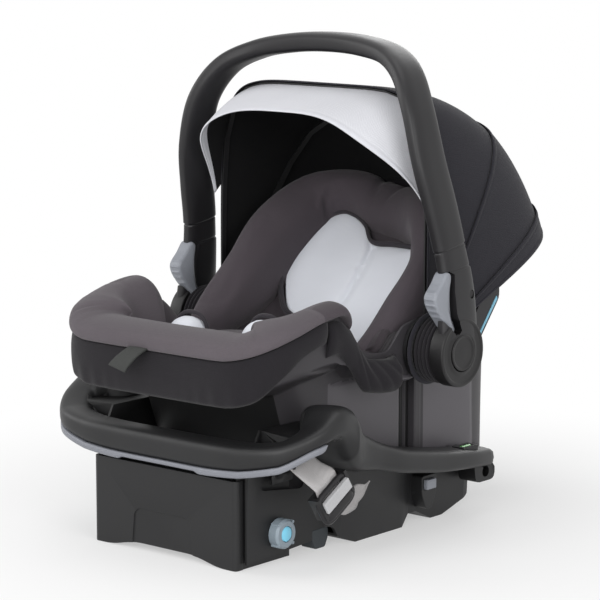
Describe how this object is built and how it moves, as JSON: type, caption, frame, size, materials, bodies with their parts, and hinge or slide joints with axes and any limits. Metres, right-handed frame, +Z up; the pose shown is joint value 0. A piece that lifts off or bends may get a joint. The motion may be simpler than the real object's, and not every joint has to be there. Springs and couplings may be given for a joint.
{
  "type": "infant car seat with base",
  "caption": "Infant car seat with a padded bucket, folding canopy and turning carry handle, which lifts off a belted base with a rack-levelled front foot.",
  "frame": {"origin": "on the underside of the base, at the middle of its flat floor", "axes": "+X to the right of the seated child's left hand side, across the seat; +Y from the foot end to the head end; +Z up"},
  "size_m": [0.438, 0.6069, 0.5916],
  "materials": {
    "black_plastic": "fine moulded texture",
    "grey_plastic": "smooth satin",
    "blue_plastic": "gloss",
    "pale_plastic": "satin",
    "slate_plastic": "satin",
    "vial": "clear tinted",
    "steel": "plain",
    "foam": "expanded bead foam, weighed as a soft piece",
    "black_fabric": "plain weave",
    "grey_fabric": "brushed knit",
    "pale_fabric": "brushed knit",
    "webbing": "woven tape"
  },
  "bodies": {
    "base": {"base_shell": "black_plastic", "trim_stripe": "grey_plastic", "vial_bezel_right": "black_plastic", "vial_bezel_left": "black_plastic", "level_vial_right": "vial", "level_vial_left": "vial", "catch_bar_front": "steel", "catch_bar_rear": "steel", "foot_pad_right": "slate_plastic", "foot_pad_left": "slate_plastic", "latch_strap": "webbing", "strap_adjuster": "black_plastic", "adjuster_plate": "pale_plastic", "strap_tail": "webbing", "latch_connector": "black_plastic"},
    "connector_button": {"connector_button": "pale_plastic"},
    "foot": {"front_foot": "black_plastic", "recline_rack_right": "grey_plastic", "recline_rack_left": "grey_plastic"},
    "knob": {"adjuster_shaft": "steel", "pinion_right": "pale_plastic", "pinion_left": "pale_plastic", "knob_right": "grey_plastic", "knob_left": "grey_plastic"},
    "knob_button_right": {"knob_button_right": "blue_plastic"},
    "knob_button_left": {"knob_button_left": "blue_plastic"},
    "carrier": {"seat_shell": "black_plastic", "foam_liner": "foam", "seat_pad": "grey_fabric", "body_support": "grey_fabric", "leg_insert_right": "pale_fabric", "leg_insert_left": "pale_fabric", "center_insert": "pale_fabric", "front_cover": "grey_fabric", "front_skirt": "black_fabric", "side_cover_right": "black_fabric", "side_cover_left": "black_fabric", "adjuster_strap": "black_fabric", "pivot_boss_right": "black_plastic", "pivot_boss_left": "black_plastic", "side_plate_right": "slate_plastic", "side_plate_left": "slate_plastic", "accent_line_right": "blue_plastic", "accent_line_left": "blue_plastic", "canopy_rear": "black_fabric"},
    "release_lever": {"release_lever": "grey_plastic"},
    "handle": {"handle_bar": "black_plastic", "hub_cap_right": "black_plastic", "hub_cap_left": "black_plastic", "handle_screw_right": "steel", "handle_screw_left": "steel"},
    "release_button_right": {"release_button_right": "grey_plastic"},
    "release_button_left": {"release_button_left": "grey_plastic"},
    "canopy_mid": {"canopy_mid": "black_fabric", "bow_mid": "black_plastic"},
    "canopy_front": {"canopy_front": "black_fabric", "bow_front": "black_plastic"},
    "visor": {"visor": "pale_fabric"}
  },
  "joints": [
    {"name": "connector_press", "type": "slide", "parent": "base", "child": "connector_button", "axis": [-1, 0, 0], "range_m": [0, 0.002], "stiffness_N_per_m": 400},
    {"name": "foot_lift", "type": "slide", "parent": "base", "child": "foot", "axis": [0, 0, -1], "range_m": [0, 0.04]},
    {"name": "knob_turn", "type": "hinge", "parent": "base", "child": "knob", "pos_m": [0, -0.195, 0.034], "axis": [1, 0, 0], "range_deg": [-192, 0]},
    {"name": "knob_button_right_press", "type": "slide", "parent": "knob", "child": "knob_button_right", "axis": [-1, 0, 0], "range_m": [0, 0.0025], "stiffness_N_per_m": 400},
    {"name": "knob_button_left_press", "type": "slide", "parent": "knob", "child": "knob_button_left", "axis": [1, 0, 0], "range_m": [0, 0.0025], "stiffness_N_per_m": 400},
    {"name": "seat_lift", "type": "slide", "parent": "base", "child": "carrier", "axis": [0, 0, 1], "range_m": [0, 0.2]},
    {"name": "lever_squeeze", "type": "slide", "parent": "carrier", "child": "release_lever", "axis": [0, 0, 1], "range_m": [0, 0.012], "stiffness_N_per_m": 500},
    {"name": "handle_turn", "type": "hinge", "parent": "carrier", "child": "handle", "pos_m": [0, 0.021, 0.225], "axis": [1, 0, 0], "range_deg": [-110, 70]},
    {"name": "release_right_press", "type": "slide", "parent": "handle", "child": "release_button_right", "axis": [0, 1, 0], "range_m": [0, 0.004], "stiffness_N_per_m": 400},
    {"name": "release_left_press", "type": "slide", "parent": "handle", "child": "release_button_left", "axis": [0, 1, 0], "range_m": [0, 0.004], "stiffness_N_per_m": 400},
    {"name": "canopy_mid_fold", "type": "hinge", "parent": "carrier", "child": "canopy_mid", "pos_m": [0, 0.021, 0.225], "axis": [1, 0, 0], "range_deg": [-22, 0]},
    {"name": "canopy_front_fold", "type": "hinge", "parent": "canopy_mid", "child": "canopy_front", "pos_m": [0, 0.021, 0.225], "axis": [1, 0, 0], "range_deg": [-22, 0]},
    {"name": "visor_fold", "type": "hinge", "parent": "canopy_front", "child": "visor", "pos_m": [0, 0.021, 0.225], "axis": [1, 0, 0], "range_deg": [-16, 0]}
  ],
  "couplings": [
    {"joint": "knob_turn", "follows": "foot_lift", "rad_per_m": -83.333},
    {"joint": "canopy_front_fold", "follows": "canopy_mid_fold", "ratio": 1}
  ]
}
